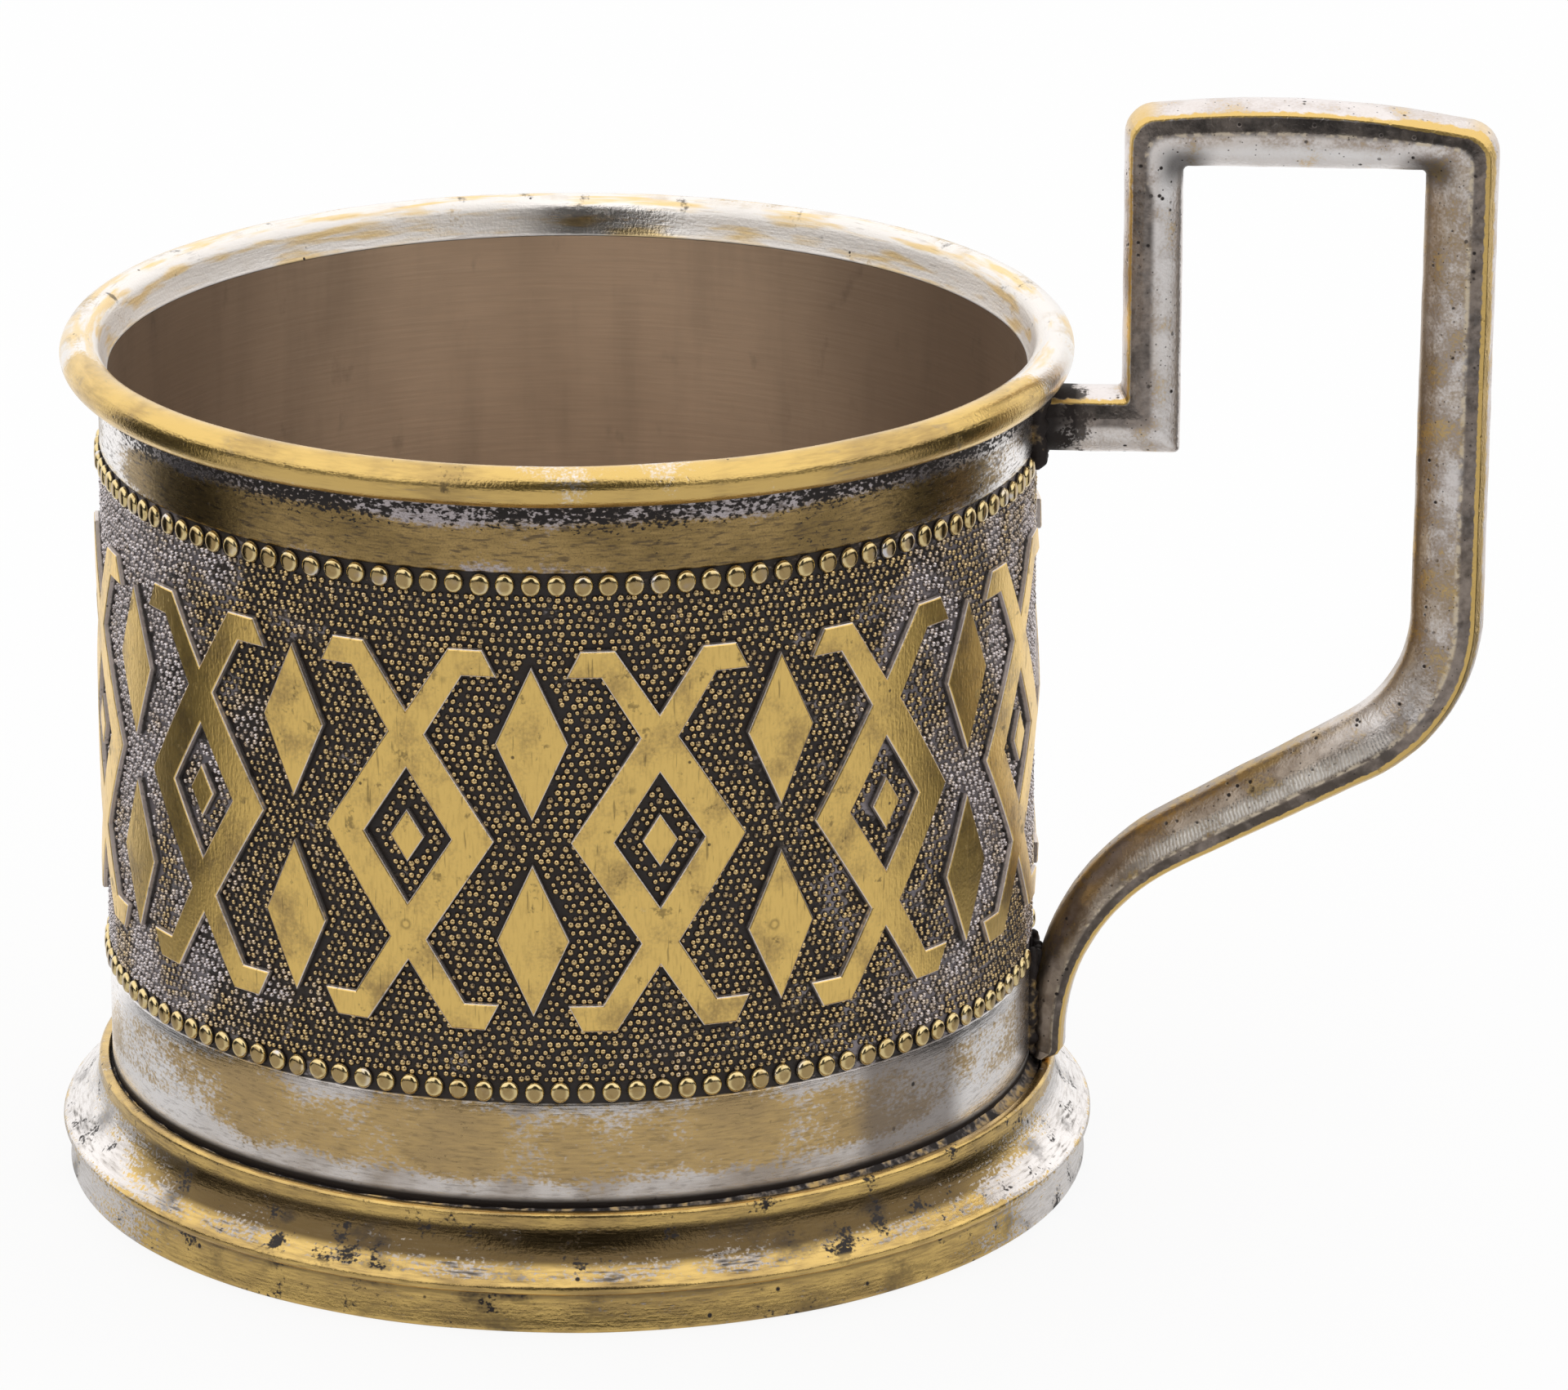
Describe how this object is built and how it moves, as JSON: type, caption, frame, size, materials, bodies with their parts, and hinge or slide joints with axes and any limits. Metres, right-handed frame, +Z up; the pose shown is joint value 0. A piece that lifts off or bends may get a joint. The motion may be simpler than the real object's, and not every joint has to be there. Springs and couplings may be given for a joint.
{
  "type": "tea glass holder",
  "caption": "Soldered metal holder for a tea glass: round sleeve with beaded rows and a raised lozenge frieze, rolled rim, stepped foot and a tall angular handle.",
  "frame": {"origin": "centre of the seat that the glass stands on, on the well's axis", "axes": "+Z up along the well's axis and out of its mouth, +X towards the handle"},
  "size_m": [0.1078, 0.0784, 0.0834],
  "materials": {
    "worn_brass": "polished, with dark tarnish",
    "worn_silver_plate": "silver plate worn through to brass",
    "inner_wall": "brushed, tarnished",
    "dark_solder": "dull, blackened"
  },
  "bodies": {
    "root": {"sleeve": "worn_silver_plate", "sleeve_seam_solder": "dark_solder", "rim_ring": "worn_brass", "rim_solder": "dark_solder", "foot_ring": "worn_brass", "foot_solder": "dark_solder", "floor_disc": "inner_wall", "floor_solder": "dark_solder", "handle": "worn_silver_plate", "upper_handle_solder": "dark_solder", "lower_handle_solder": "dark_solder"}
  },
  "joints": []
}
